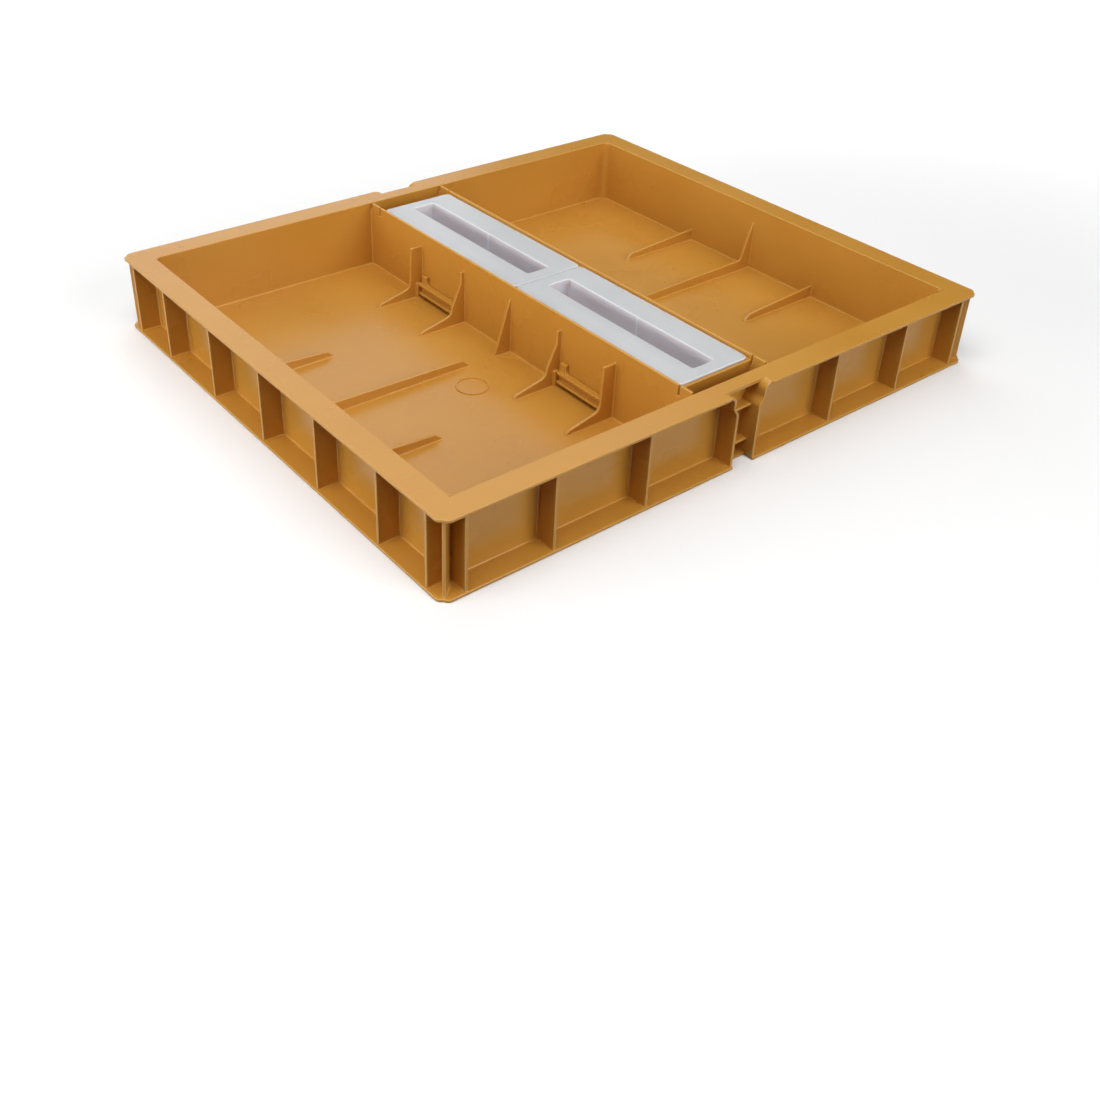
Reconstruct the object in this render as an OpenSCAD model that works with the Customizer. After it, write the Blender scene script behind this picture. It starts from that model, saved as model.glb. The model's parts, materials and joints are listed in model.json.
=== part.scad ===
// Hive top feeder: a moulded tray with two syrup tanks and a covered bee channel
// between them, closed by two lift-off caps and fed through four sluice gates.
// Millimetres, +Z up. The origin is the middle of the base flange's underside,
// +X runs to the right along the long side and +Y runs from front to back.

/* [Tray] */
// Outside length, left to right
tray_w = 505; // [440:1:560]
// Outside depth, front to back
tray_d = 430; // [380:1:480]
// Height from the base flange's underside to the top of the rim
tray_h = 60; // [54:1:80]
// Width of the rim, from its outer edge to the tank wall's inner face
rim_w = 19.5; // [16:0.5:26]
// Thickness of the rim and of the base flange
flange_t = 2.2; // [1.6:0.1:3]
// Thickness of the tank walls
wall_t = 2.4; // [1.6:0.1:3.2]
// Thickness of the floor
floor_t = 2.4; // [1.6:0.1:3.2]
// Height of the floor's underside above the base flange's underside
floor_lift = 1.6; // [0.6:0.1:4]
// Radius of the tanks' upright inner corners
tank_corner_r = 5; // [2:0.5:10]

/* [Outer ribs] */
// Thickness of the upright ribs between the rim and the base flange
rib_t = 2.2; // [1.6:0.1:3]
// Set-back of the ribs from the flanges' outer edge
rib_inset = 1; // [0.4:0.1:3]
// Radius of the two lobes that each flange corner ends in
lobe_r = 4.5; // [3:0.5:7]
// Sideways spread of a corner's two lobes
lobe_spread = 3; // [1:0.5:4]

/* [Grip notches] */
// Width of the notch between its two ribs, near the base
notch_w = 19.5; // [16:0.5:26]
// Width of the notch between its two ribs, near the rim
notch_mouth_w = 27; // [27:0.5:36]
// Depth of the notch in the rim
notch_depth = 7.5; // [5:0.5:10]
// Outside radius of the shoulders that turn from the notch ribs into the rim
shoulder_r = 6.5; // [4:0.5:9]
// Height below the rim's top at which the notch ribs have spread to the mouth
spread_drop = 10; // [10:0.5:13]
// Height over which the notch ribs spread
spread_h = 8; // [5:0.5:12]
// Thickness of the shelves that tie the notch ribs
shelf_t = 1.8; // [1.2:0.1:2.6]
// Set-back of the shelves from the flanges' outer edge
shelf_inset = 8.5; // [6:0.5:12]
// Height of the lower shelf's top above the base flange's underside
low_shelf_z = 14.2; // [9:0.1:20]

/* [Bee channel] */
// Clear width between the dividers
channel_w = 69; // [66:0.5:90]
// Thickness of the dividers
divider_t = 2; // [1.4:0.1:3]
// Length of the pocket between a tank wall and the channel's end wall
pocket_l = 14.5; // [10:0.5:20]
// Thickness of the channel's end walls
end_wall_t = 2.4; // [1.6:0.1:3]
// Width of the slit in a divider beside each end wall
slit_w = 1.8; // [1:0.1:3]
// Depth of that slit
slit_h = 8; // [4:0.5:12]
// Width of the notch between a divider's end and the tank wall
end_notch_w = 2; // [1:0.1:4]
// Depth of that notch
end_notch_h = 5.5; // [3:0.5:10]
// Width of each syrup slot at a divider's foot
slot_w = 46; // [30:1:50]
// Height of each syrup slot
slot_h = 10; // [6:0.5:12]

/* [Chimneys] */
// Bee space on each side of a cap's well and over a chimney's top
bee_gap = 8.3; // [7:0.1:9.5]
// Thickness of the chimney walls
chimney_t = 2; // [1.4:0.1:2.6]
// Gap between the two chimneys
chimney_mid_gap = 5.6; // [3:0.2:8]

/* [Caps] */
// Thickness of a cap's plate
cap_t = 2; // [1.4:0.1:3]
// Depth of the caps' tops below the rim
cap_drop = 1.8; // [0.6:0.1:4]
// Gap between a cap and a divider
cap_side_gap = 1.5; // [0.6:0.1:2.2]
// Lap of a cap over the channel's end wall
cap_lap = 0.6; // [0.3:0.1:1.5]
// Gap between the two caps
cap_mid_gap = 1; // [0.4:0.1:2]
// Radius of a cap's plan corners
cap_corner_r = 4; // [1:0.5:8]
// Inside width of a cap's well
well_w = 20.5; // [14:0.5:24]
// Distance from the caps' meeting edge to the well
well_margin_mid = 11.9; // [10:0.1:18]
// Distance from a cap's outer edge to the well
well_margin_end = 10.6; // [9.6:0.1:16]
// Depth of the well below the plate's top
well_depth = 40; // [24:1:44]
// Thickness of the well's walls
well_t = 1.6; // [1:0.1:2.4]
// Depth of the gussets that stand between the plate and the well's walls
cap_gusset_h = 18; // [10:0.5:20]
// Reach of these gussets past the chimney's inner faces
cap_gusset_past = 1.5; // [0.5:0.1:2]
// Width of the ledges that carry the caps
ledge_w = 2.8; // [2.4:0.1:4]
// Depth of those ledges at the divider
ledge_h = 3.5; // [2:0.5:6]

/* [Gate brackets] */
// Distance of the inner blades from the middle of the divider
inner_blade_y = 60; // [40:0.5:64]
// Distance of the outer blades from the middle of the divider
outer_blade_y = 119.5; // [118:0.5:140]
// Thickness of the blades
blade_t = 2.2; // [1.6:0.1:3]
// Height of the blades above the floor
blade_h = 44.5; // [36:0.5:48]
// Width of an outer blade's flat top
outer_top_w = 11; // [7:0.5:12]
// Width of an inner blade's top
inner_top_w = 3.7; // [2:0.1:6]
// Length of an inner blade's straight neck below its top
inner_neck_l = 10; // [4:0.5:16]
// Width of a blade where it turns into its foot
blade_w = 12.2; // [12:0.1:18]
// Height of that turn above the floor
elbow_h = 9.5; // [7:0.5:14]
// Length of a blade's foot, from the divider to its tip
foot_l = 43.5; // [34:0.5:56]
// Height of the foot just before its tip
foot_h = 3; // [1.5:0.1:5]
// Length of the plain middle gusset's foot
mid_gusset_l = 15.3; // [10:0.1:22]

/* [Sluice gates] */
// Running clearance round a gate
gate_clear = 0.4; // [0.3:0.05:0.7]
// Thickness of a gate's plate
gate_t = 2.5; // [1.6:0.1:3.2]
// Height of a gate's plate between its feet and its posts
gate_h = 9.3; // [8:0.1:14]
// Height of the feet, which is the slot left open below the plate
gate_foot_h = 3.7; // [2:0.1:5]
// Width of a foot
gate_foot_w = 5; // [3:0.5:7]
// Height of the finger posts above the plate
post_h = 7; // [4:0.5:12]
// Width of a finger post
post_w = 6.5; // [4:0.5:10]
// Height of the two bars along a gate
bar_h = 2; // [1.2:0.1:3]
// Distance that the bars stand out of the plate
bar_d = 3; // [1.5:0.1:5]
// Height of the guide ribs on the blades
guide_h = 13; // [10:0.5:20]
// Width of a guide rib, away from the divider
guide_w = 3.5; // [2:0.1:5]
// Reach of a guide rib over the gate's end
guide_reach = 2.4; // [1.6:0.1:4]

/* [Floor ribs] */
// Thickness of the floor ribs
floor_rib_t = 2.2; // [1.6:0.1:3]
// Distance of the short ribs from the tank's middle
short_rib_y = 72; // [50:1:110]
// Length of a short rib
short_rib_l = 82; // [50:1:120]
// Height of a short rib at the tank wall
short_rib_h = 10.3; // [7:0.1:16]
// Height of a short rib just before its tip
short_rib_end_h = 5.3; // [3:0.1:7]
// Distance from the long rib's tip to the divider
long_rib_gap = 39; // [24:1:60]
// Height of the long rib where its wall gusset starts
long_rib_h = 9.3; // [6:0.1:14]
// Height of the long ribs where their slanted tip starts
long_rib_end_h = 6.3; // [3:0.1:8]
// Height of the long rib's wall gusset above the floor
wall_gusset_h = 41.5; // [20:0.5:48]
// Length of that gusset along the floor rib
wall_gusset_l = 12; // [6:0.5:20]

/* [Hidden] */

// Colours as the photograph shows them
OCHRE = "#c08034";
OCHRE_RIM = "#d3a052";
MILKY = "#d5d7e2";

// Small overrun that lets cuts pass right through
over = 1;
// Gap under a piece that rests on the tray
seat_gap = 0.1;
// Radius of the well's inner corners and of the chimney's
well_corner_r = 2;
chimney_corner_r = 3;
// Fillet at the foot of a gate's finger post
post_fillet = 3;
// Length of the slanted tip at the end of a foot, a short rib and a long rib
foot_tip_l = 2.5;
short_rib_tip_l = 6.5;
long_rib_tip_l = 6.5;
// Width of the narrow flat on top of a gusset
gusset_top_w = 1.2;
// Steps in a round stretch of an outline
arc_steps = 8;

// Places of the outer ribs, as shares of the run from the middle to the corner rib
front_rib_shares = [0.355, 0.7];
side_rib_shares = [0, 0.367, 0.735];

// Half sizes of the tank walls' inner faces
inner_x = tray_w / 2 - rim_w;
inner_y = tray_d / 2 - rim_w;
// Width of the outer cells between the flanges' edge and the tank wall
cell_d = rim_w - wall_t;
// Heights of the floor's top, the rim's underside and the ribs between the flanges
floor_z = floor_lift + floor_t;
rim_z = tray_h - flange_t;
rib_h = rim_z - flange_t;
// Place of a corner rib, in line with the tank wall
corner_rib_x = inner_x + wall_t - rib_t / 2;
corner_rib_y = inner_y + wall_t - rib_t / 2;
// Distance of a corner's cusp from both edges, where its two lobes cross
lobe_u = lobe_r + lobe_spread;
lobe_sum = lobe_u + lobe_r;
cusp = (lobe_sum - sqrt(2 * lobe_r * lobe_r - lobe_spread * lobe_spread)) / 2;
cusp_angle = atan2(cusp - lobe_r, cusp - lobe_u) + 360;

// Half width of the notch in the rim, with the shoulders
notch_half = notch_mouth_w / 2 + shoulder_r;
// Heights between which the notch ribs spread
spread_z = tray_h - spread_drop;
spread_start_z = spread_z - spread_h;
// Tops of the two shelves
shelf_tops = [spread_start_z, low_shelf_z];

// Faces of the dividers and of the channel's end walls
div_in = channel_w / 2;
div_out = div_in + divider_t;
end_out = inner_y - pocket_l;
end_in = end_out - end_wall_t;
// Width of a tank
tank_w = inner_x - div_out;

// A cap's plate and well
cap_top = tray_h - cap_drop;
cap_low = cap_top - cap_t;
cap_half_w = div_in - cap_side_gap;
cap_mid = cap_mid_gap / 2;
cap_end = end_in + cap_lap;
well_mid = cap_mid + well_margin_mid;
well_end = cap_end - well_margin_end;
well_z = cap_top - well_depth;
well_half_w = well_w / 2;

// A chimney's opening
chimney_half_w = well_half_w + well_t + bee_gap;
chimney_mid = chimney_mid_gap / 2 + chimney_t;
chimney_end = end_in - chimney_t;
chimney_top = cap_low - bee_gap;

// A gate between its blades, measured from the divider's face and along it
gate_y0 = inner_blade_y + blade_t / 2 + gate_clear;
gate_y1 = outer_blade_y - blade_t / 2 - gate_clear;
gate_mid = (gate_y0 + gate_y1) / 2;
gate_half = (gate_y1 - gate_y0) / 2;
bar_half = gate_half - guide_reach - gate_clear;
guide_d = gate_t + 2 * gate_clear;

// Outlines

// Points on an arc about a centre, from one angle to another
function arc(centre, r, from, to) = [
    for (i = [0 : arc_steps])
        let (a = from + (to - from) * i / arc_steps)
            centre + r * [cos(a), sin(a)]
];

// Points on a curve that leaves a towards b and arrives at c
function bend(a, b, c) = [
    for (i = [0 : arc_steps])
        let (t = i / arc_steps)
            (1 - t) * (1 - t) * a + 2 * t * (1 - t) * b + t * t * c
];

// The mirror image of an outline about its upright axis, in the opposite order
function mirrored(points) = [
    for (i = [len(points) - 1 : -1 : 0]) [-points[i][0], points[i][1]]
];

// An outline that is the same on both sides of its upright axis
function both_sides(points) = concat(points, mirrored(points));

// A rectangle with round corners
function round_rect(x0, y0, x1, y1, r) = concat(
    arc([x0 + r, y0 + r], r, 180, 270),
    arc([x1 - r, y0 + r], r, 270, 360),
    arc([x1 - r, y1 - r], r, 0, 90),
    arc([x0 + r, y1 - r], r, 90, 180)
);

// Frames

// One of the four sides, counted anticlockwise from the front: x runs along the
// side and y runs inwards from the flanges' outer edge
module on_side(k) {
    half = (k % 2 == 0 ? tray_d : tray_w) / 2;
    rotate(90 * k) translate([0, -half, 0]) children();
}

// The left half and the front half are mirror images of the right and the back
module on_left() mirror([1, 0, 0]) children();
module on_front() mirror([0, 1, 0]) children();

// An outline in x and z, made solid from one y to another
module upright_x(y0, y1) {
    translate([0, y1, 0]) rotate([90, 0, 0]) linear_extrude(y1 - y0) children();
}

// An outline in y and z, made solid from one x to another
module upright_y(x0, x1) {
    translate([x0, 0, 0]) rotate([90, 0, 90]) linear_extrude(x1 - x0) children();
}

// Flanges

// A straight length of flange that ends in half a lobed corner on each side
module flange_strip(side_l, width) {
    half = side_l / 2;
    left = concat(
        [[-half + width, width]],
        arc([-half + lobe_u, lobe_r], lobe_r, cusp_angle, 270)
    );
    linear_extrude(flange_t) polygon(both_sides(left));
}

// The cut for a grip notch, open to the outer edge
module notch_cut(half_w, depth) {
    translate([-half_w, -over, -over]) cube([2 * half_w, depth + over, flange_t + 2 * over]);
}

module rim_with_notch() {
    translate([0, 0, rim_z]) difference() {
        flange_strip(tray_w, rim_w);
        notch_cut(notch_half, notch_depth);
    }
}

module base_with_notch() {
    difference() {
        flange_strip(tray_w, cell_d);
        notch_cut(notch_w / 2, shelf_inset);
    }
}

module rim_front() color(OCHRE_RIM) on_side(0) rim_with_notch();
module rim_back() color(OCHRE_RIM) on_side(2) rim_with_notch();
module rim_right() color(OCHRE_RIM) on_side(1) translate([0, 0, rim_z]) flange_strip(tray_d, rim_w);
module rim_left() color(OCHRE_RIM) on_side(3) translate([0, 0, rim_z]) flange_strip(tray_d, rim_w);

module base_front() color(OCHRE) on_side(0) base_with_notch();
module base_back() color(OCHRE) on_side(2) base_with_notch();
module base_right() color(OCHRE) on_side(1) flange_strip(tray_d, cell_d);
module base_left() color(OCHRE) on_side(3) flange_strip(tray_d, cell_d);

// Tank walls

module long_wall() {
    translate([-inner_x, cell_d, 0]) cube([2 * inner_x, wall_t, rim_z]);
}

// A short wall with the round inner corners at its ends, which run up to the rim's top
module short_wall() {
    round_in = arc([tank_corner_r, tank_corner_r], tank_corner_r, 270, 180);
    root = [[0, -wall_t], [tank_corner_r, -wall_t]];
    outer = inner_y + wall_t;
    translate([-outer, cell_d, 0]) cube([2 * outer, wall_t, rim_z]);
    for (s = [0, 1]) mirror([s, 0, 0]) translate([-inner_y, rim_w, floor_z]) {
        linear_extrude(rim_z - floor_z) polygon(concat(root, round_in));
        linear_extrude(tray_h - floor_z) polygon(concat([[0, 0]], round_in));
    }
}

module wall_front() color(OCHRE) on_side(0) long_wall();
module wall_back() color(OCHRE) on_side(2) long_wall();
module wall_right() color(OCHRE) on_side(1) short_wall();
module wall_left() color(OCHRE) on_side(3) short_wall();

// Outer ribs

module outer_rib(x) {
    translate([x - rib_t / 2, rib_inset, flange_t]) cube([rib_t, cell_d - rib_inset, rib_h]);
}

module rib_row(places) {
    for (x = places) {
        outer_rib(x);
        if (x > 0) outer_rib(-x);
    }
}

module long_side_ribs() {
    start = notch_w / 2 + flange_t / 2;
    rib_row(concat([for (s = front_rib_shares) start + s * (corner_rib_x - start)], [corner_rib_x]));
}

module short_side_ribs() {
    rib_row(concat([for (s = side_rib_shares) s * corner_rib_y], [corner_rib_y]));
}

module ribs_front() color(OCHRE) on_side(0) long_side_ribs();
module ribs_back() color(OCHRE) on_side(2) long_side_ribs();
module ribs_right() color(OCHRE) on_side(1) short_side_ribs();
module ribs_left() color(OCHRE) on_side(3) short_side_ribs();

// A web on the diagonal, from the corner of the tank walls to the flanges' cusp,
// kept between the two corner ribs
module corner_web() {
    start = (cusp + rib_inset) * sqrt(2);
    stop = (cell_d + rib_t) * sqrt(2);
    intersection() {
        rotate(45) translate([start, -rib_t / 2, flange_t]) cube([stop - start, rib_t, rib_h]);
        cube([cell_d, cell_d, tray_h]);
    }
}

module corner_webs() {
    color(OCHRE) for (mx = [0, 1], my = [0, 1])
        mirror([mx, 0, 0]) mirror([0, my, 0]) translate([-tray_w / 2, -tray_d / 2, 0]) corner_web();
}

// Grip notches

// Section of a notch rib: upright at the base, spread to the mouth, then bent
// over a round shoulder into the rim
function notch_rib_face(out) = concat(
    [[notch_w / 2 + out, flange_t]],
    bend(
        [notch_w / 2 + out, spread_start_z],
        [notch_w / 2 + out, spread_start_z + spread_h / 4],
        [(notch_w + notch_mouth_w) / 4 + out, spread_z - spread_h / 2]
    ),
    bend(
        [(notch_w + notch_mouth_w) / 4 + out, spread_z - spread_h / 2],
        [notch_mouth_w / 2 + out, spread_z - spread_h / 4],
        [notch_mouth_w / 2 + out, spread_z]
    ),
    arc([notch_half, tray_h - shoulder_r], shoulder_r - out, 180, 90)
);

function reversed(points) = [for (i = [len(points) - 1 : -1 : 0]) points[i]];

module notch_rib() {
    difference() {
        upright_x(rib_inset, cell_d)
            polygon(concat(notch_rib_face(0), reversed(notch_rib_face(flange_t))));
        translate([0, notch_depth, rim_z]) cube([2 * notch_half, rim_w, tray_h]);
    }
}

module grip_notch() {
    for (s = [0, 1]) mirror([s, 0, 0]) notch_rib();
    for (z = shelf_tops)
        translate([-notch_w / 2 - flange_t / 2, shelf_inset, z - shelf_t])
            cube([notch_w + flange_t, cell_d - shelf_inset, shelf_t]);
}

module grip_front() color(OCHRE) on_side(0) grip_notch();
module grip_back() color(OCHRE) on_side(2) grip_notch();

// Floors

module tank_floor() {
    translate([div_out, -inner_y, floor_lift]) cube([tank_w, 2 * inner_y, floor_t]);
}

module right_tank_floor() color(OCHRE) tank_floor();
module left_tank_floor() color(OCHRE) on_left() tank_floor();

// Plan of a chimney, grown by a wall
function chimney_plan(grow) = round_rect(
    -chimney_half_w - grow, chimney_mid - grow,
    chimney_half_w + grow, chimney_end + grow, chimney_corner_r + grow
);

module channel_floor() {
    color(OCHRE) difference() {
        translate([-div_in, -inner_y, floor_lift]) cube([channel_w, 2 * inner_y, floor_t]);
        for (s = [0, 1]) mirror([0, s, 0])
            translate([0, 0, floor_lift - over]) linear_extrude(floor_t + 2 * over)
                polygon(chimney_plan(0));
    }
}

// Channel walls

// A divider with its syrup slots, the slits beside the end walls and a small
// notch at each end
module divider() {
    difference() {
        translate([div_in, -inner_y, floor_lift])
            cube([divider_t, 2 * inner_y, tray_h - floor_lift]);
        for (s = [0, 1]) mirror([0, s, 0]) {
            translate([div_in - over, gate_mid - slot_w / 2, floor_z])
                cube([divider_t + 2 * over, slot_w, slot_h]);
            translate([div_in - over, end_out, tray_h - slit_h])
                cube([divider_t + 2 * over, slit_w, slit_h + over]);
            translate([div_in - over, inner_y - end_notch_w, tray_h - end_notch_h])
                cube([divider_t + 2 * over, end_notch_w + over, end_notch_h + over]);
        }
    }
}

module right_divider() color(OCHRE) divider();
module left_divider() color(OCHRE) on_left() divider();

// An end wall, as high as the caps that lie on it allow
module channel_end() {
    translate([-div_in, end_in, floor_z])
        cube([channel_w, end_wall_t, cap_low - seat_gap - floor_z]);
}

module channel_end_back() color(OCHRE) channel_end();
module channel_end_front() color(OCHRE) on_front() channel_end();

module chimney() {
    translate([0, 0, floor_z]) difference() {
        linear_extrude(chimney_top - floor_z) polygon(chimney_plan(chimney_t));
        translate([0, 0, -over]) linear_extrude(tray_h) polygon(chimney_plan(0));
    }
}

module back_chimney() color(OCHRE) chimney();
module front_chimney() color(OCHRE) on_front() chimney();

// A wedge along the divider that carries the caps' edges
module cap_ledge() {
    top = cap_low - seat_gap;
    upright_x(-end_in, end_in)
        polygon([[div_in, top], [div_in - ledge_w, top], [div_in, top - ledge_h]]);
}

module right_cap_ledge() color(OCHRE) cap_ledge();
module left_cap_ledge() color(OCHRE) on_left() cap_ledge();

// Gate brackets

// Outline of a blade: a top on the divider, a front edge that comes down to a
// rounded elbow, and a long low foot. A neck keeps the edge straight below the top.
function blade_outline(top_w, neck_l) =
    let (
        tip = [foot_l - foot_tip_l, foot_h],
        elbow = [blade_w, elbow_h],
        run = tip - elbow,
        blend = elbow_h - foot_h
    )
    concat(
        [[0, 0], [0, blade_h], [top_w, blade_h]],
        neck_l > 0 ? [[top_w, blade_h - neck_l]] : [],
        bend(elbow + [0, blend], elbow, elbow + blend * run / norm(run)),
        [tip, [foot_l, 0]]
    );

// A blade at its place on the right-hand divider
module blade(y, points) {
    translate([div_out, 0, floor_z]) upright_x(y - blade_t / 2, y + blade_t / 2) polygon(points);
}

// A rib that stands out of a blade's side and keeps the gate against the divider
module guide(y0) {
    translate([div_out + guide_d, y0, floor_z]) cube([guide_w, blade_t / 2 + guide_reach, guide_h]);
}

module brackets() {
    for (s = [0, 1]) mirror([0, s, 0]) {
        blade(inner_blade_y, blade_outline(inner_top_w, inner_neck_l));
        guide(inner_blade_y);
        blade(outer_blade_y, blade_outline(outer_top_w, 0));
        guide(outer_blade_y - blade_t / 2 - guide_reach);
    }
    blade(0, [[0, 0], [0, blade_h], [gusset_top_w, blade_h], [mid_gusset_l, 0]]);
}

module right_brackets() color(OCHRE) brackets();
module left_brackets() color(OCHRE) on_left() brackets();

// Floor ribs

// A rib that runs inwards from the tank's outer wall
module floor_rib(y, points) {
    translate([inner_x, 0, floor_z]) upright_x(y - floor_rib_t / 2, y + floor_rib_t / 2)
        polygon([for (p = points) [-p[0], p[1]]]);
}

module floor_ribs() {
    short = [
        [0, 0], [0, short_rib_h],
        [short_rib_l - short_rib_tip_l, short_rib_end_h], [short_rib_l, 0]
    ];
    long = [
        [0, 0], [0, wall_gusset_h], [gusset_top_w, wall_gusset_h],
        [wall_gusset_l, long_rib_h],
        [tank_w - long_rib_gap - long_rib_tip_l, long_rib_end_h], [tank_w - long_rib_gap, 0]
    ];
    for (s = [-1, 1]) floor_rib(s * short_rib_y, short);
    floor_rib(0, long);
}

module right_floor_ribs() color(OCHRE) floor_ribs();
module left_floor_ribs() color(OCHRE) on_left() floor_ribs();

// Caps

// Plan of the well, grown by a wall
function well_plan(grow) = round_rect(
    -well_half_w - grow, well_mid - grow,
    well_half_w + grow, well_end + grow, well_corner_r + grow
);

// A gusset under the plate, from inside a well wall to its reach past that wall
module cap_gusset(reach) {
    upright_x(-well_t / 2, well_t / 2) polygon([
        [-well_t / 2, cap_low + cap_t / 2], [reach, cap_low + cap_t / 2], [reach, cap_low],
        [0, cap_low - cap_gusset_h], [-well_t / 2, cap_low - cap_gusset_h]
    ]);
}

// A plate with a deep closed well, and a gusset half way along each of its walls
module cap() {
    middle = (well_mid + well_end) / 2;
    wall_out = well_half_w + well_t;
    side_reach = bee_gap + cap_gusset_past;
    mid_reach = well_mid - well_t - chimney_mid + cap_gusset_past;
    end_reach = chimney_end + chimney_t / 2 - well_end - well_t;
    difference() {
        union() {
            translate([0, 0, cap_low]) linear_extrude(cap_t)
                polygon(round_rect(-cap_half_w, cap_mid, cap_half_w, cap_end, cap_corner_r));
            translate([0, 0, well_z - well_t]) linear_extrude(cap_low + well_t - well_z)
                polygon(well_plan(well_t));
        }
        translate([0, 0, well_z]) linear_extrude(tray_h) polygon(well_plan(0));
    }
    for (s = [0, 1]) mirror([s, 0, 0]) translate([wall_out, middle, 0]) cap_gusset(side_reach);
    translate([0, well_end + well_t, 0]) rotate(90) cap_gusset(end_reach);
    translate([0, well_mid - well_t, 0]) rotate(-90) cap_gusset(mid_reach);
}

module back_cap() color(MILKY) cap();
module front_cap() color(MILKY) on_front() cap();

// Sluice gates

// Outline of half a gate along the divider: a foot, the end that runs in the
// guides, a finger post and the plate's top
gate_side = concat(
    [
        [gate_half - gate_foot_w, gate_foot_h], [gate_half - gate_foot_w, seat_gap],
        [gate_half, seat_gap], [gate_half, gate_foot_h + gate_h],
        [bar_half, gate_foot_h + gate_h], [bar_half, gate_foot_h + gate_h + post_h],
        [bar_half - post_w, gate_foot_h + gate_h + post_h]
    ],
    bend(
        [bar_half - post_w, gate_foot_h + gate_h + post_fillet],
        [bar_half - post_w, gate_foot_h + gate_h],
        [bar_half - post_w - post_fillet, gate_foot_h + gate_h]
    )
);

module gate() {
    translate([div_out + gate_clear, gate_mid, floor_z]) {
        upright_y(0, gate_t) polygon(both_sides(gate_side));
        for (z = [gate_foot_h, gate_foot_h + gate_h - bar_h])
            translate([0, -bar_half, z]) cube([gate_t + bar_d, 2 * bar_half, bar_h]);
    }
}

module right_back_gate() color(OCHRE_RIM) gate();
module right_front_gate() color(OCHRE_RIM) on_front() gate();
module left_back_gate() color(OCHRE_RIM) on_left() gate();
module left_front_gate() color(OCHRE_RIM) on_left() on_front() gate();

rim_front();
rim_back();
rim_left();
rim_right();
base_front();
base_back();
base_left();
base_right();
wall_front();
wall_back();
wall_left();
wall_right();
ribs_front();
ribs_back();
ribs_left();
ribs_right();
corner_webs();
grip_front();
grip_back();
left_tank_floor();
right_tank_floor();
channel_floor();
left_divider();
right_divider();
channel_end_front();
channel_end_back();
front_chimney();
back_chimney();
left_cap_ledge();
right_cap_ledge();
left_brackets();
right_brackets();
left_floor_ribs();
right_floor_ribs();
front_cap();
back_cap();
left_front_gate();
left_back_gate();
right_front_gate();
right_back_gate();
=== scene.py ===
"""Hive top feeder: an ochre tray moulding with two tanks, two milky caps and four sluice gates.

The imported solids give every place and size. The tray's sections are rounded along their free edges, filleted
where they stand on each other, and joined into the one moulding that they are in real life.
"""

import json
import math

import bmesh
import bpy
from bpy.props import FloatProperty, FloatVectorProperty, PointerProperty
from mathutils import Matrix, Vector
from mathutils.bvhtree import BVHTree


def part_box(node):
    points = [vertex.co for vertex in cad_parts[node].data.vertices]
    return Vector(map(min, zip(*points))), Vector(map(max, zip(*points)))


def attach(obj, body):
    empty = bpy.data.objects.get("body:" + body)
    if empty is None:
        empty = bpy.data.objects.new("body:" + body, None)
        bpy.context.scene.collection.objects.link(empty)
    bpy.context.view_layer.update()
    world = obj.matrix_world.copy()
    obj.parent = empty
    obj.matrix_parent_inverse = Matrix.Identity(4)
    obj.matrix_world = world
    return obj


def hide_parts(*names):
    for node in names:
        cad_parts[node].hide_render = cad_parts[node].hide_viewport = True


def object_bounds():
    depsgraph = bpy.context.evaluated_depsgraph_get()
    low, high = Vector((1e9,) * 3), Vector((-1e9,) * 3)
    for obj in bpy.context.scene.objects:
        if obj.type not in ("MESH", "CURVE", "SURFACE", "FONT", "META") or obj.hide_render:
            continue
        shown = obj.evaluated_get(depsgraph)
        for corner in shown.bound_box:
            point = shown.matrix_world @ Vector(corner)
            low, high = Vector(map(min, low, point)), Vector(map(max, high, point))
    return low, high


bl_info = {
    "name": "Hive Top Feeder",
    "version": (1, 0, 0),
    "blender": (4, 5, 0),
    "location": "View3D > Sidebar > Feeder",
    "description": "Builds a two-tank hive top feeder around its packed solids",
    "category": "Add Mesh",
}

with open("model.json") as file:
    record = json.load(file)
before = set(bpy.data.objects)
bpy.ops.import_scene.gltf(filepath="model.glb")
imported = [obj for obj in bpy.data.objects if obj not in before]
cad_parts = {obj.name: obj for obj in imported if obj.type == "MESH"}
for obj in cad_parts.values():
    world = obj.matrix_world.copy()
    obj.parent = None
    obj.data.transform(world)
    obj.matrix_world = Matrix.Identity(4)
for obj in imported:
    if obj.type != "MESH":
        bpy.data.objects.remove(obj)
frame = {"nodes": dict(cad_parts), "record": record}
CAD_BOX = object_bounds()

MM = 0.001
TRAY_SECTIONS = frame["record"]["behaviour"]["bodies"]["tray"]
RINGS = ("rim_", "base_")  # sections that close into a ring round the tray
CAPS = ("front_cap", "back_cap")
GATES = ("left_front_gate", "left_back_gate", "right_front_gate", "right_back_gate")

WELD = 0.001 * MM          # vertices closer than this are one
FLAT = math.radians(0.5)   # faces within this angle are one flat face
TOUCH = 0.03 * MM          # sections closer than this touch
SHARP = math.radians(40)   # edges above this angle are edges of the tool, and not facets of a curve
SMOOTH = math.radians(38)  # facets below this angle shade as one curve
FACING = -0.9              # faces look at each other where the product of their normals is below this
SAMPLE_STEP = 1.5 * MM     # how finely an edge is tried against its neighbours
FEWEST_SPOTS = 3           # how often the shortest edge is tried
SHORTEST_FILLET = 3        # a fillet shorter than this many edge roundings is left out
SINK = 0.2 * MM            # how deep fillets and raised lines reach into what they stand on
ROUND_STEPS = 3            # facets in a rounded edge
FILLET_STEPS = 4           # facets in a fillet
RING_STEPS = 48            # facets round a witness ring
MICRON_PLACES = 6          # decimal places of a metre in a whole micron
PLATE_ZONE = 3 * MM        # faces of a cap this close to its top belong to its plate
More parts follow.
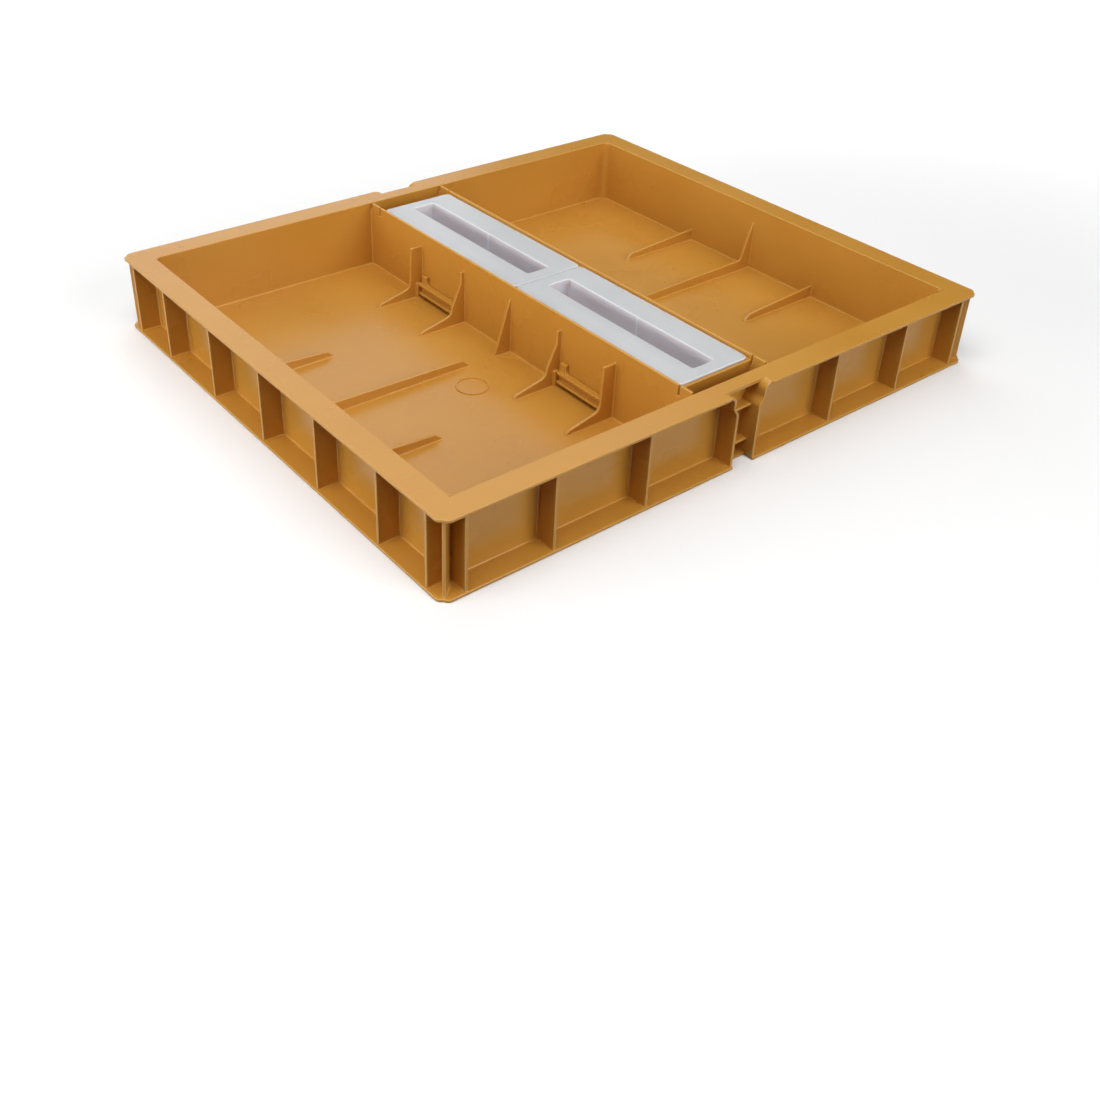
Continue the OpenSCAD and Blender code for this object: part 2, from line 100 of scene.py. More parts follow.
SLACK = 1 * MM             # how far faces of a cap's well may lie from the outline of its foot
PAINTED_HIGHLIGHT, WELL_PAINTED_LIGHT = 1, 2  # material slots after the first, which is the body's own finish: a painted highlight, and painted light in the well

POLYPROPYLENE_IOR = 1.49
SATIN_SPREAD = (-0.08, 0.09)  # how the tray's roughness varies with the pigment
SKIN_SPREAD = (-0.06, 0.08)   # how the caps' roughness varies with the flow lines
EDGE_SHINE = 0.08             # how much smoother the faces with the painted highlight are

FLOOR_GAP = 0.2 * MM       # how far the floor lies under the tray, so that their faces stay apart
WALL_STEPS = 64            # facets round the white wall
SENSOR_WIDTH = 36          # of the camera, in millimetres
VIEW_DEPTH = 50            # how far the camera sees, in metres
MIDDLE = (0, 0, 0)
BARE, GRID = math.pi, math.radians(80)  # spread of a bare softbox, and of one with a grid
# Name, place, point that it faces, width and height, power in watts, spread
LIGHTS = (
    ("softbox_front", (0.4, -1.95, 0.9), MIDDLE, (1.3, 1.3), 23, BARE),
    ("softbox_left", (-1.3, 0.2, 0.3), MIDDLE, (1.0, 0.5), 8.8, BARE),
    ("softbox_top", (-0.6, -0.35, 1.55), MIDDLE, (1.2, 1.2), 17.5, BARE),
    ("screen_back", (0.9, 1.75, 2.1), MIDDLE, (2.2, 1.6), 14, BARE),
    ("screen_low", (0.4, 2.3, 0.8), MIDDLE, (2.2, 1.1), 9.5, BARE),
    ("softbox_floor", (1.3, 1.4, 1.7), (1.3, 1.4, 0), (2.2, 2.2), 13, GRID),
)


def linear(code):
    """An sRGB hex colour as the linear values that shaders work in."""
    channels = [int(code[i:i + 2], 16) / 255 for i in (1, 3, 5)]
    return [c / 12.92 if c <= 0.04045 else ((c + 0.055) / 1.055) ** 2.4 for c in channels]


# Sizes and colours that a user would change


class FeederTray(bpy.types.PropertyGroup):
    """Rounding and colour of the tray moulding."""

    edge_round: FloatProperty(
        name="Edge rounding", description="Radius along the moulding's free edges",
        default=0.5 * MM, min=0.1 * MM, max=0.7 * MM, unit="LENGTH", precision=5)
    foot_fillet: FloatProperty(
        name="Foot fillet", description="Radius where one wall stands on another",
        default=0.9 * MM, min=0.2 * MM, max=2 * MM, unit="LENGTH", precision=5)
    ring_radius: FloatProperty(
        name="Ejector ring radius", description="Radius of the witness ring on each tank's floor",
        default=12 * MM, unit="LENGTH", precision=5)
    ring_width: FloatProperty(
        name="Ejector ring width", description="Width of the witness ring's raised line",
        default=1.5 * MM, unit="LENGTH", precision=5)
    ring_height: FloatProperty(
        name="Ejector ring height", description="How far the witness ring stands up",
        default=0.7 * MM, unit="LENGTH", precision=5)
    ring_across: FloatProperty(
        name="Ejector ring across", description="Distance of the witness ring from the channel's centre line",
        default=92.3 * MM, unit="LENGTH", precision=5)
    ring_along: FloatProperty(
        name="Ejector ring along", description="Distance of the witness ring from the line between the caps",
        default=27.2 * MM, unit="LENGTH", precision=5)
    colour: FloatVectorProperty(
        name="Ochre", description="Colour of the pigmented polypropylene",
        default=linear("#C48832"), subtype="COLOR", min=0, max=1)
    colour_pale: FloatVectorProperty(
        name="Pale ochre", description="Colour where the pigment flowed thinner",
        default=linear("#D29A41"), subtype="COLOR", min=0, max=1)
    # Painted highlight: this lighter ochre on rounded edges and fillets stands for light catching them, not
    # for rubbing by handling.
    colour_highlight: FloatVectorProperty(
        name="Edge ochre", description="Colour along edges rubbed bright by handling",
        default=linear("#D8A455"), subtype="COLOR", min=0, max=1)
    roughness: FloatProperty(
        name="Roughness", description="Roughness of the satin tool finish",
        default=0.28, min=0, max=1, subtype="FACTOR")


class FeederCaps(bpy.types.PropertyGroup):
    """Rounding and colour of the two caps."""

    edge_round: FloatProperty(
        name="Edge rounding", description="Radius along the caps' edges",
        default=0.5 * MM, min=0.1 * MM, max=0.75 * MM, unit="LENGTH", precision=5)
    # The pale line is a painted glow, standing for light gathered in the gusset behind the wall.
    gusset_line: FloatProperty(
        name="Gusset line", description="Width of the pale line where a gusset stands behind the well's wall",
        default=2.4 * MM, unit="LENGTH", precision=5)
    gusset_depth: FloatProperty(
        name="Gusset depth", description="How far the side gussets reach down from the plate's top",
        default=20 * MM, unit="LENGTH", precision=5)
    colour: FloatVectorProperty(
        name="Milky white", description="Colour of the unpigmented polypropylene",
        default=linear("#EFF5FF"), subtype="COLOR", min=0, max=1)
    colour_flow: FloatVectorProperty(
        name="Flow white", description="Colour along the flow lines of the melt",
        default=linear("#E9EFFB"), subtype="COLOR", min=0, max=1)
    # Painted light: the well's warmer white stands for light thrown in from the ochre walls round it.
    colour_well_glow: FloatVectorProperty(
        name="Well white", description="Milky white inside the well, warmed by the ochre walls round it",
        default=linear("#EAD6D2"), subtype="COLOR", min=0, max=1)
    clearness: FloatProperty(
        name="Clearness", description="Share of the light that passes straight through each skin",
        default=0.3, min=0, max=1, subtype="FACTOR")
    # Painted glow: edges and gussets are made less clear, so they show whiter, as if light gathered there.
    clearness_glow: FloatProperty(
        name="Edge clearness", description="The same share at edges and gussets, where light gathers",
        default=0.05, min=0, max=1, subtype="FACTOR")
    # Painted light: the well's walls are made less clear, so they show whiter, as if lit by light scattered in
    # the sheet.
    clearness_well_glow: FloatProperty(
        name="Well clearness", description="The same share at the well's walls, seen at a slant",
        default=0.06, min=0, max=1, subtype="FACTOR")
    depth: FloatProperty(
        name="Scatter depth", description="How far light travels inside the milky sheet",
        default=5 * MM, min=0, max=40 * MM, unit="LENGTH", precision=5)
    roughness: FloatProperty(
        name="Roughness", description="Roughness of the caps' surface",
        default=0.22, min=0, max=1, subtype="FACTOR")


class FeederGates(bpy.types.PropertyGroup):
    """Rounding of the four sluice gates."""

    edge_round: FloatProperty(
        name="Edge rounding", description="Radius along the gates' edges",
        default=0.4 * MM, min=0.1 * MM, max=0.6 * MM, unit="LENGTH", precision=5)


class FeederStage(bpy.types.PropertyGroup):
    """Floor, light and camera."""

    floor_colour: FloatVectorProperty(
        name="Floor", description="Colour of the pale floor",
        default=linear("#FAFAFA"), subtype="COLOR", min=0, max=1)
    floor_glow: FloatProperty(
        name="Floor glow", description="Strength of the floor's own light near the feeder, as on a lit table",
        default=0.06, min=0, max=1)
    sweep_glow: FloatProperty(
        name="Sweep glow", description="Strength of the floor's own light far from the feeder",
        default=0.95, min=0, max=1)
    sweep_start: FloatProperty(
        name="Sweep start", description="Distance from the feeder's middle where the glow starts to grow",
        default=0.45, unit="LENGTH")
    sweep_end: FloatProperty(
        name="Sweep end", description="Distance from the feeder's middle where the glow is full",
        default=1.6, unit="LENGTH")
    floor_size: FloatProperty(
        name="Floor size", description="Side of the square floor, and distance across the wall round it",
        default=14, unit="LENGTH")
    sky: FloatProperty(
        name="Room light", description="Strength of the even light of the white room", default=0.03)
    eye: FloatVectorProperty(
        name="Camera place", description="Where the camera stands",
        default=(-0.5788, -0.6803, 0.4847), subtype="TRANSLATION", unit="LENGTH")
    aim: FloatVectorProperty(
        name="Camera aim", description="Tilt, roll and heading of the camera",
        default=[math.radians(a) for a in (56.957, -1.781, -38.425)], subtype="EULER", unit="ROTATION")
    lens: FloatProperty(
        name="Focal length", description="Focal length on a 36 mm wide sensor", default=41.58)
    shift: FloatVectorProperty(
        name="Lens shift", description="Offset of the frame, in frame widths",
        size=2, default=(0.0220, -0.0950))


# Finishes


def node(tree, kind, links=None, **settings):
    """Adds a node, sets its properties and inputs, and links inputs to other nodes' outputs."""
    made = tree.nodes.new(kind)
    for key, value in settings.items():
        if hasattr(made, key):
            setattr(made, key, value)
        else:
            made.inputs[key.replace("_", " ")].default_value = value
    for key, output in (links or {}).items():
        tree.links.new(output, made.inputs[key])
    return made


def new_material(name):
    """An empty node material with its principled shader and output."""
    material = bpy.data.materials.new(name)
    material.use_nodes = True
    tree = material.node_tree
    tree.nodes.clear()
    shader = node(tree, "ShaderNodeBsdfPrincipled")
    node(tree, "ShaderNodeOutputMaterial", {"Surface": shader.outputs[0]})
    return material, tree, shader


def per_metre(size):
    """Texture scale for a pattern of that size in metres."""
    return 1 / size


def moulded_ochre(name, colours, roughness):
    """Pigmented polypropylene from a spark-eroded tool.

    To the eye it is satin: broad soft reflections over a slightly uneven ochre, with faint clouds where the
    pigment flowed and a fine grain that breaks up the gloss.
    """
    material, tree, shader = new_material(name)
    place = node(tree, "ShaderNodeTexCoord").outputs["Object"]
    # Pigment clouds are a few centimetres across.
    clouds = node(tree, "ShaderNodeTexNoise", {"Vector": place}, Scale=per_metre(70 * MM), Detail=3)
    # Spark erosion leaves pits of about 0.1 mm, too fine to show here, so the grain is drawn at 1.4 mm.
    grain = node(tree, "ShaderNodeTexNoise", {"Vector": place}, Scale=per_metre(1.4 * MM), Detail=2)
    # Sink marks and slow waves of the cooling sheet are about 45 mm long.
    waves = node(tree, "ShaderNodeTexNoise", {"Vector": place}, Scale=per_metre(45 * MM), Detail=1)
    tint = node(tree, "ShaderNodeMix", {"Factor": clouds.outputs["Fac"]}, data_type="RGBA")
    tint.inputs["A"].default_value = (*colours[0], 1)
    tint.inputs["B"].default_value = (*colours[1], 1)
    gloss = node(
        tree, "ShaderNodeMapRange", {"Value": clouds.outputs["Fac"]},
        To_Min=roughness + SATIN_SPREAD[0], To_Max=roughness + SATIN_SPREAD[1])
    ripple = node(
        tree, "ShaderNodeBump", {"Height": waves.outputs["Fac"]}, Strength=0.25, Distance=0.5 * MM)
    pits = node(
        tree, "ShaderNodeBump", {"Height": grain.outputs["Fac"], "Normal": ripple.outputs["Normal"]},
        Strength=0.10, Distance=0.06 * MM)
    tree.links.new(tint.outputs["Result"], shader.inputs["Base Color"])
    tree.links.new(gloss.outputs["Result"], shader.inputs["Roughness"])
    tree.links.new(pits.outputs["Normal"], shader.inputs["Normal"])
    shader.inputs["IOR"].default_value = POLYPROPYLENE_IOR
    return material


def moulded_milky(name, settings, colour, clearness):
    """Unpigmented polypropylene, a thin moulded sheet.

    To the eye it is milky and a little blue: light passes into it, so what stands behind shows as a soft
    shade, under a satin skin with faint flow lines. Less clear copies paint the glow of edges, gussets and the
    well.
    """
    material, tree, shader = new_material(name)
    place = node(tree, "ShaderNodeTexCoord").outputs["Object"]
    # Flow lines run along the cap, about 6 mm apart and ten times as long.
    along = node(tree, "ShaderNodeMapping", {"Vector": place}, vector_type="POINT")
    along.inputs["Scale"].default_value = (1, 0.1, 1)
    flow = node(
        tree, "ShaderNodeTexNoise", {"Vector": along.outputs["Vector"]}, Scale=per_metre(6 * MM), Detail=3)
    # The skin's grain of about 0.1 mm is too fine to show here, so it is drawn at 1.2 mm.
    grain = node(tree, "ShaderNodeTexNoise", {"Vector": place}, Scale=per_metre(1.2 * MM), Detail=2)
    tint = node(tree, "ShaderNodeMix", {"Factor": flow.outputs["Fac"]}, data_type="RGBA")
    tint.inputs["A"].default_value = (*colour, 1)
    tint.inputs["B"].default_value = (*settings.colour_flow, 1)
    gloss = node(
        tree, "ShaderNodeMapRange", {"Value": flow.outputs["Fac"]},
        To_Min=settings.roughness + SKIN_SPREAD[0], To_Max=settings.roughness + SKIN_SPREAD[1])
    skin = node(
        tree, "ShaderNodeBump", {"Height": grain.outputs["Fac"]}, Strength=0.08, Distance=0.05 * MM)
    tree.links.new(tint.outputs["Result"], shader.inputs["Base Color"])
    tree.links.new(gloss.outputs["Result"], shader.inputs["Roughness"])
    tree.links.new(skin.outputs["Normal"], shader.inputs["Normal"])
    shader.inputs["IOR"].default_value = POLYPROPYLENE_IOR
    shader.inputs["Alpha"].default_value = 1 - clearness
    shader.inputs["Subsurface Weight"].default_value = 1
    shader.inputs["Subsurface Radius"].default_value = (1, 1, 1)
    shader.inputs["Subsurface Scale"].default_value = settings.depth
    return material


def matt_paint(name, settings):
    """White emulsion paint, rolled on.

    To the eye it has no gloss, only faint roller marks. Far from the feeder it glows like the white sweep of
    a studio, so that no horizon shows.
    """
    material, tree, shader = new_material(name)
    place = node(tree, "ShaderNodeTexCoord").outputs["Object"]
    # Roller marks are about 30 mm apart.
    marks = node(tree, "ShaderNodeTexNoise", {"Vector": place}, Scale=per_metre(30 * MM), Detail=2)
    rough = node(tree, "ShaderNodeMapRange", {"Value": marks.outputs["Fac"]}, To_Min=0.85, To_Max=0.95)
    away = node(tree, "ShaderNodeVectorMath", {"Vector": place}, operation="LENGTH")
    glow = node(
        tree, "ShaderNodeMapRange", {"Value": away.outputs["Value"]}, interpolation_type="SMOOTHSTEP",
        From_Min=settings.sweep_start, From_Max=settings.sweep_end,
        To_Min=settings.floor_glow, To_Max=settings.sweep_glow)
    tree.links.new(rough.outputs["Result"], shader.inputs["Roughness"])
    tree.links.new(glow.outputs["Result"], shader.inputs["Emission Strength"])
    shader.inputs["Emission Color"].default_value = (1, 1, 1, 1)
    shader.inputs["Base Color"].default_value = (*settings.floor_colour, 1)
    shader.inputs["Specular IOR Level"].default_value = 0.1
    return material


# Shapes


def make_whole(solid):
    """Welds a solid along its edges, takes out inner seams, and makes each flat face one face."""
    bmesh.ops.remove_doubles(solid, verts=solid.verts, dist=WELD)
    seams = [face for face in solid.faces if all(len(edge.link_faces) > 2 for edge in face.edges)]
    bmesh.ops.delete(solid, geom=seams, context="FACES_ONLY")
    bmesh.ops.dissolve_limit(solid, angle_limit=FLAT, verts=solid.verts, edges=solid.edges)


def section_solid(*names):
    """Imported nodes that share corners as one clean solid."""
    whole = bmesh.new()
    for name in names:
        section = bmesh.new()
        section.from_mesh(frame["nodes"][name].data)
        make_whole(section)
        mesh = bpy.data.meshes.new(name)
        section.to_mesh(mesh)
        section.free()
        whole.from_mesh(mesh)
        bpy.data.meshes.remove(mesh)
    make_whole(whole)
    whole.normal_update()
    return whole


def box_round(names):
    """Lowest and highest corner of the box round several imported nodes."""
    boxes = [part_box(name) for name in names]
    return [
        [pick(box[end][axis] for box in boxes) for axis in range(3)]
        for end, pick in ((0, min), (1, max))]


def surface_tree(solids):
    """One search tree over the faces of several solids."""
    points, faces = [], []
    for solid in solids:
        first = len(points)
        solid.verts.index_update()
        points += [vert.co.copy() for vert in solid.verts]
        faces += [[first + vert.index for vert in face.verts] for face in solid.faces]
    return BVHTree.FromPolygons(points, faces)


def spots_along(edge):
    """Evenly spaced points along an edge."""
    start, end = (vert.co for vert in edge.verts)
    count = max(FEWEST_SPOTS, round((end - start).length / SAMPLE_STEP))
    return [start.lerp(end, (i + 0.5) / count) for i in range(count)]


def stands_free(edge, neighbours):
    """Whether most of an edge is clear of the other sections."""
    spots = spots_along(edge)
    clear = sum(neighbours.find_nearest(spot, TOUCH)[0] is None for spot in spots)
    return 2 * clear > len(spots)


def is_sharp(edge):
    """Whether an edge turns far enough to be an edge of the tool."""
    return len(edge.link_faces) == 2 and edge.calc_face_angle() > SHARP


def round_edges(solid, edges, radius):
    """Rounds the given edges and gives the new faces the painted highlight."""
    bmesh.ops.bevel(
        solid, geom=edges, offset=radius, offset_type="OFFSET", segments=ROUND_STEPS, profile=0.5,
        affect="EDGES", clamp_overlap=False, material=PAINTED_HIGHLIGHT)


def fillet_runs(edge, neighbours, radius, trim):
    """Stretches of an edge where its section stands on another, as start, end, way out and way up.

    Each stretch stops short by trim, so that a fillet ends where the rounding of a free end starts.
    """
    runs = []
    spots = spots_along(edge)
    half = (spots[1] - spots[0]) / 2
    reach = half - half.normalized() * trim
    for foot, side in (edge.link_faces, reversed(edge.link_faces)):
        run = []
        for spot in spots + [None]:
            ground = None
            if spot is not None:
                point, normal, _, _ = neighbours.find_nearest(spot + side.normal * radius, TOUCH)
                if point is not None and normal.dot(foot.normal) < FACING:
                    ground = normal
            if ground is not None:
                run.append((spot, ground))
            elif run:
                first, last = run[0][0], run[-1][0]
                if (last - first).length + 2 * half.length > SHORTEST_FILLET * trim:
                    runs.append((first - reach, last + reach, side.normal.copy(), run[0][1].copy()))
                run = []
    return runs


def fillet_strip(start, end, out, up, radius):
    """A bar with a hollow face that fills the corner along a line."""
    corner = [(-SINK, radius), (-SINK, -SINK), (radius, -SINK)]
    quarter = math.pi / 2 / FILLET_STEPS
    hollow = [
        (radius - radius * math.sin(i * quarter), radius - radius * math.cos(i * quarter))
        for i in range(FILLET_STEPS + 1)]
    profile = [out * a + up * b for a, b in corner + hollow]
    strip = bmesh.new()
    rings = [[strip.verts.new(place + offset) for offset in profile] for place in (start, end)]
    strip.faces.new(rings[0])
    strip.faces.new(reversed(rings[1]))
    for i in range(len(profile)):
        j = (i + 1) % len(profile)
        side = strip.faces.new((rings[0][j], rings[0][i], rings[1][i], rings[1][j]))
        # The fillet's faces get the painted highlight, a lighter colour where light catches the hollow.
        side.material_index = PAINTED_HIGHLIGHT
    bmesh.ops.recalc_face_normals(strip, faces=strip.faces)
    return strip


def raised_ring(centre, radius, width, height):
    """A low raised line round a circle, sunk into the floor that it stands on."""
    ring = bmesh.new()
    profile = [(-width / 2, -SINK), (-width / 3, height), (width / 3, height), (width / 2, -SINK)]
    rows = []
    for i in range(RING_STEPS):
        turn = 2 * math.pi * i / RING_STEPS
        out = Vector((math.cos(turn), math.sin(turn), 0))
        rows.append([
            ring.verts.new(Vector(centre) + out * (radius + across) + Vector((0, 0, up)))
            for across, up in profile])
    for here, there in zip(rows, rows[1:] + rows[:1]):
        for i in range(len(profile)):
            j = (i + 1) % len(profile)
            ring.faces.new((here[i], here[j], there[j], there[i]))
    bmesh.ops.recalc_face_normals(ring, faces=ring.faces)
    return ring


def settle(solid, box):
    """Sets points on whole microns, so that faces that touch share one plane, and keeps them inside a box."""
    for vert in solid.verts:
        vert.co = [
            round(min(max(value, low), high), MICRON_PLACES) for value, low, high in zip(vert.co, *box)]


def mesh_object(name, solid, materials):
    """Turns a bmesh into an object in the scene, and frees the bmesh."""
    mesh = bpy.data.meshes.new(name)
    solid.to_mesh(mesh)
    solid.free()
    for material in materials:
        mesh.materials.append(material)
    made = bpy.data.objects.new(name, mesh)
    bpy.context.scene.collection.objects.link(made)
    return made


def clean_union(solid):
    """Takes out what a union can leave: slivers, folded corners, and pockets of two faces back to back."""
    bmesh.ops.dissolve_degenerate(solid, edges=solid.edges, dist=WELD)
    solid.normal_update()
    folded = [
        face for vert in solid.verts for face in vert.link_faces
        if len(vert.link_edges) == 2 and vert.link_faces[0].normal.dot(vert.link_faces[1].normal) < 0]
    bmesh.ops.triangulate(solid, faces=list(dict.fromkeys(folded)))
    corners = {}
    for face in solid.faces:
        corners.setdefault(frozenset(face.verts), []).append(face)
    pockets = [face for faces in corners.values() if len(faces) > 1 for face in faces]
    bmesh.ops.delete(solid, geom=pockets, context="FACES")


def joined(name, solids, materials):
    """Joins solids into one closed moulding."""
    parts = [mesh_object(f"{name}.{i}", solid, materials) for i, solid in enumerate(solids)]
    rest = bpy.data.collections.new(name + "_sections")
    for part in parts[1:]:
        rest.objects.link(part)
    union = parts[0].modifiers.new("join", "BOOLEAN")
    union.operation = "UNION"
    union.operand_type = "COLLECTION"
    union.collection = rest
    union.solver = "MANIFOLD"
    result = parts[0].evaluated_get(bpy.context.evaluated_depsgraph_get())
    whole = bmesh.new()
    whole.from_mesh(result.to_mesh())
    result.to_mesh_clear()
    clean_union(whole)
    if not all(edge.is_manifold for edge in whole.edges) or len(whole.faces) < len(solids):
        raise RuntimeError(f"the sections of {name} did not join")
    for part in parts:
        bpy.data.meshes.remove(part.data)
    bpy.data.collections.remove(rest)
    return mesh_object(name, whole, materials)


def shade(piece):
    """Shades curves smoothly, keeps flat faces flat and real corners sharp."""
    solid = bmesh.new()
    solid.from_mesh(piece.data)
    for face in solid.faces:
        face.smooth = True
    for edge in solid.edges:
        edge.smooth = len(edge.link_faces) == 2 and edge.calc_face_angle() < SMOOTH
    solid.to_mesh(piece.data)
    solid.free()
    weighted = piece.modifiers.new("flat faces lead", "WEIGHTED_NORMAL")
    weighted.keep_sharp = True


# Pieces


class FEEDER_OT_tray(bpy.types.Operator):
    """Make the tray moulding from its packed sections"""

    bl_idname = "feeder.tray"
    bl_label = "Tray moulding"

    def execute(self, context):
        settings = context.scene.feeder_tray
        groups = [[name for name in TRAY_SECTIONS if name.startswith(ring)] for ring in RINGS]
        groups += [[name] for name in TRAY_SECTIONS if not name.startswith(RINGS)]
        sections = {tuple(group): section_solid(*group) for group in groups}
        around = {
            group: surface_tree([solid for other, solid in sections.items() if other != group])
            for group in sections}
        strips = []
        for group, solid in sections.items():
            sharp = [edge for edge in solid.edges if is_sharp(edge)]
            free = [edge for edge in sharp if stands_free(edge, around[group])]
            loose = set(free)
            for edge in sharp:
                if edge not in loose:
                    runs = fillet_runs(edge, around[group], settings.foot_fillet, settings.edge_round)
                    strips += [fillet_strip(*run, settings.foot_fillet) for run in runs]
            round_edges(solid, free, settings.edge_round)
            settle(solid, box_round(group))
        floor_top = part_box("left_tank_floor")[1].z
        rings = [
            raised_ring(
                (side * settings.ring_across, side * settings.ring_along, floor_top),
                settings.ring_radius, settings.ring_width, settings.ring_height)
            for side in (-1, 1)]
        finishes = [
            moulded_ochre(
                "polypropylene_moulded_satin", (settings.colour, settings.colour_pale), settings.roughness),
            # The second finish paints a highlight: a lighter, smoother ochre on the rounded edges and fillets.
            moulded_ochre(
                "polypropylene_painted_highlight", (settings.colour_highlight, settings.colour_pale),
                settings.roughness - EDGE_SHINE)]
        for strip in strips + rings:
            settle(strip, CAD_BOX)
        tray = joined("tray_moulding", list(sections.values()) + strips + rings, finishes)
        shade(tray)
        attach(tray, "tray")
        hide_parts(*TRAY_SECTIONS)
        return {"FINISHED"}


class FEEDER_OT_caps(bpy.types.Operator):
    """Make the two lift-off caps with their wells"""

    bl_idname = "feeder.caps"
    bl_label = "Caps"

    def mark_gussets(self, solid, settings):
        """Paints light into the cap: a glow on the gussets and on a line of the wall where a gusset stands
        behind it, and a warmer, lighter white on the well's walls.
        """
        low, top = (pick(vert.co.z for vert in solid.verts) for pick in (min, max))
        foot = [vert.co for vert in solid.verts if vert.co.z < low + SLACK]
        half = max(co.x for co in foot)
        near, far = min(co.y for co in foot), max(co.y for co in foot)
        middle, thick = (near + far) / 2, settings.gusset_line / 2
        below = top - settings.gusset_depth
        across, up = (0, 1, 0), (0, 0, 1)
        cuts = (((0, middle - thick, 0), across), ((0, middle + thick, 0), across), ((0, 0, below), up))
        for place, normal in cuts:
            everything = solid.verts[:] + solid.edges[:] + solid.faces[:]
            bmesh.ops.bisect_plane(solid, geom=everything, plane_co=place, plane_no=normal, dist=WELD)
        for face in solid.faces:
            spot = face.calc_center_median()
            within = abs(spot.x) <= half + SLACK
            gusset = not within or spot.y < near - SLACK or spot.y > far + SLACK
            line = within and abs(spot.y - middle) < thick and below < spot.z < top - SLACK
            deep = spot.z < top - PLATE_ZONE
            # Gussets and the line get the painted glow; the well's walls get painted light.
            if line or (gusset and deep):
                face.material_index = PAINTED_HIGHLIGHT
            elif deep:
                face.material_index = WELL_PAINTED_LIGHT

    def execute(self, context):
        settings = context.scene.feeder_caps
        finishes = [
            moulded_milky(
                "polypropylene_moulded_unpigmented", settings, settings.colour, settings.clearness),
            # The second and third finishes are less clear copies that paint a glow on edges and gussets, and
            # light in the well.
            moulded_milky(
                "polypropylene_unpigmented_painted_glow", settings, settings.colour, settings.clearness_glow),
            moulded_milky(
                "polypropylene_unpigmented_well_painted_light", settings, settings.colour_well_glow, settings.clearness_well_glow)]
        for name in CAPS:
            solid = section_solid(name)
            self.mark_gussets(solid, settings)
            round_edges(solid, [edge for edge in solid.edges if is_sharp(edge)], settings.edge_round)
            cap = mesh_object(name + "_moulding", solid, finishes)
            shade(cap)
            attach(cap, name)
            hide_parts(name)
        return {"FINISHED"}


class FEEDER_OT_gates(bpy.types.Operator):
    """Make the four sluice gates"""

    bl_idname = "feeder.gates"
    bl_label = "Sluice gates"

    def execute(self, context):
        settings = context.scene.feeder_gates
        # The gates' rounded edges get the painted highlight.
        finishes = [
            bpy.data.materials[name]
            for name in ("polypropylene_moulded_satin", "polypropylene_painted_highlight")]
        for name in GATES:
            solid = section_solid(name)
            round_edges(solid, [edge for edge in solid.edges if is_sharp(edge)], settings.edge_round)
            gate = mesh_object(name + "_moulding", solid, finishes)
            shade(gate)
            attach(gate, name)
            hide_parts(name)
        return {"FINISHED"}


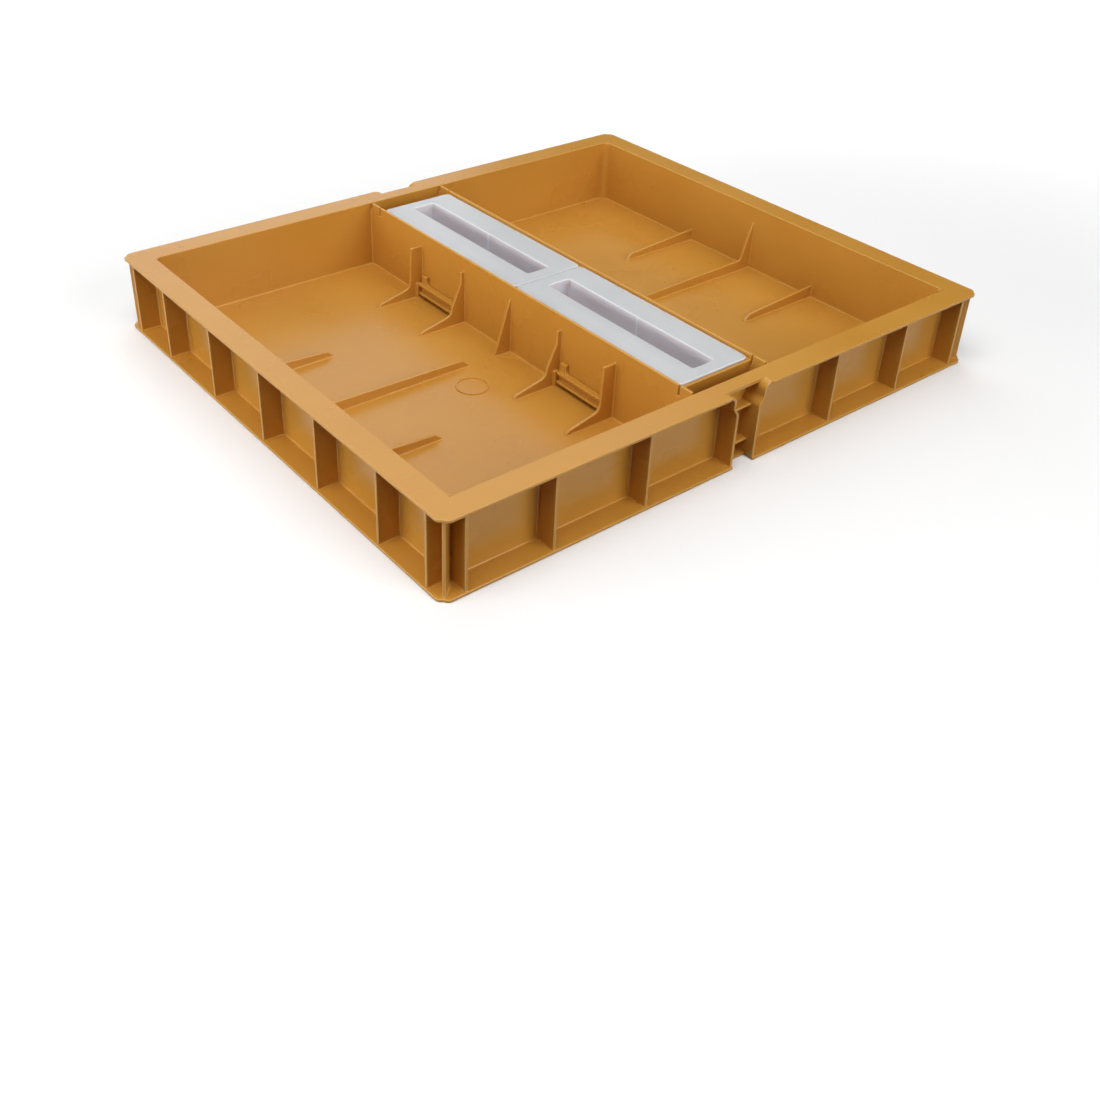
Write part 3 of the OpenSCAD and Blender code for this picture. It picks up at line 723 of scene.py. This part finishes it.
class FEEDER_OT_stage(bpy.types.Operator):
    """Set up the pale floor, the soft light and the camera"""

    bl_idname = "feeder.stage"
    bl_label = "Stage"

    def set_floor(self, settings):
        """A wide floor, and a white wall round it far away."""
        paint = matt_paint("floor_matt_paint", settings)
        half = settings.floor_size / 2
        sheet = bmesh.new()
        bmesh.ops.create_grid(sheet, x_segments=1, y_segments=1, size=half)
        floor = mesh_object("floor", sheet, [paint])
        floor.location.z = CAD_BOX[0][2] - FLOOR_GAP
        # The floor throws no light back up, so the open cells keep their deep shade.
        floor.visible_diffuse = False
        tube = bmesh.new()
        bmesh.ops.create_cone(
            tube, cap_ends=False, segments=WALL_STEPS, radius1=half, radius2=half, depth=half)
        wall = mesh_object("backdrop", tube, [paint])
        # The wall is there only to be white in the picture, and lights nothing.
        wall.visible_diffuse = wall.visible_glossy = wall.visible_transmission = wall.visible_shadow = False

    def set_light(self, name, place, target, size, power, spread):
        """A soft light that faces a point, and that the camera does not see."""
        lamp = bpy.data.lights.new(name, "AREA")
        lamp.shape = "RECTANGLE"
        lamp.size, lamp.size_y = size
        lamp.energy = power
        lamp.spread = spread
        light = bpy.data.objects.new(name, lamp)
        light.location = place
        light.rotation_euler = (Vector(target) - Vector(place)).to_track_quat("-Z", "Y").to_euler()
        light.visible_camera = False
        bpy.context.scene.collection.objects.link(light)

    def set_room(self, scene, settings):
        """The faint even light of a white room, with colours shown as they are."""
        world = bpy.data.worlds.new("white_room")
        world.use_nodes = True
        background = world.node_tree.nodes["Background"]
        background.inputs["Color"].default_value = (1, 1, 1, 1)
        background.inputs["Strength"].default_value = settings.sky
        scene.world = world
        scene.view_settings.view_transform = "Standard"

    def set_camera(self, scene, settings):
        """The camera, at the photograph's viewing angle."""
        lens = bpy.data.cameras.new("camera")
        lens.sensor_width = SENSOR_WIDTH
        lens.lens = settings.lens
        lens.shift_x, lens.shift_y = settings.shift
        lens.clip_end = VIEW_DEPTH
        camera = bpy.data.objects.new("camera", lens)
        camera.location = settings.eye
        camera.rotation_euler = settings.aim
        scene.collection.objects.link(camera)
        scene.camera = camera

    def execute(self, context):
        scene = context.scene
        settings = scene.feeder_stage
        self.set_floor(settings)
        for light in LIGHTS:
            self.set_light(*light)
        self.set_room(scene, settings)
        self.set_camera(scene, settings)
        return {"FINISHED"}


OPERATORS = (FEEDER_OT_tray, FEEDER_OT_caps, FEEDER_OT_gates, FEEDER_OT_stage)
SETTINGS = {
    "feeder_tray": FeederTray, "feeder_caps": FeederCaps, "feeder_gates": FeederGates,
    "feeder_stage": FeederStage}


class FEEDER_PT_sidebar(bpy.types.Panel):
    """Lists the feeder's pieces and their settings"""

    bl_idname = "FEEDER_PT_sidebar"
    bl_label = "Hive Top Feeder"
    bl_space_type = "VIEW_3D"
    bl_region_type = "UI"
    bl_category = "Feeder"

    def draw(self, context):
        for operator, (name, group) in zip(OPERATORS, SETTINGS.items()):
            box = self.layout.box()
            box.operator(operator.bl_idname)
            for field in group.__annotations__:
                box.prop(getattr(context.scene, name), field)


CLASSES = (*SETTINGS.values(), *OPERATORS, FEEDER_PT_sidebar)


def register():
    for made in CLASSES:
        bpy.utils.register_class(made)
    for name, group in SETTINGS.items():
        setattr(bpy.types.Scene, name, PointerProperty(type=group))


def unregister():
    for name in SETTINGS:
        delattr(bpy.types.Scene, name)
    for made in reversed(CLASSES):
        bpy.utils.unregister_class(made)


def main():
    register()
    bpy.ops.feeder.tray()
    bpy.ops.feeder.caps()
    bpy.ops.feeder.gates()
    bpy.ops.feeder.stage()


if __name__ == "__main__":
    main()
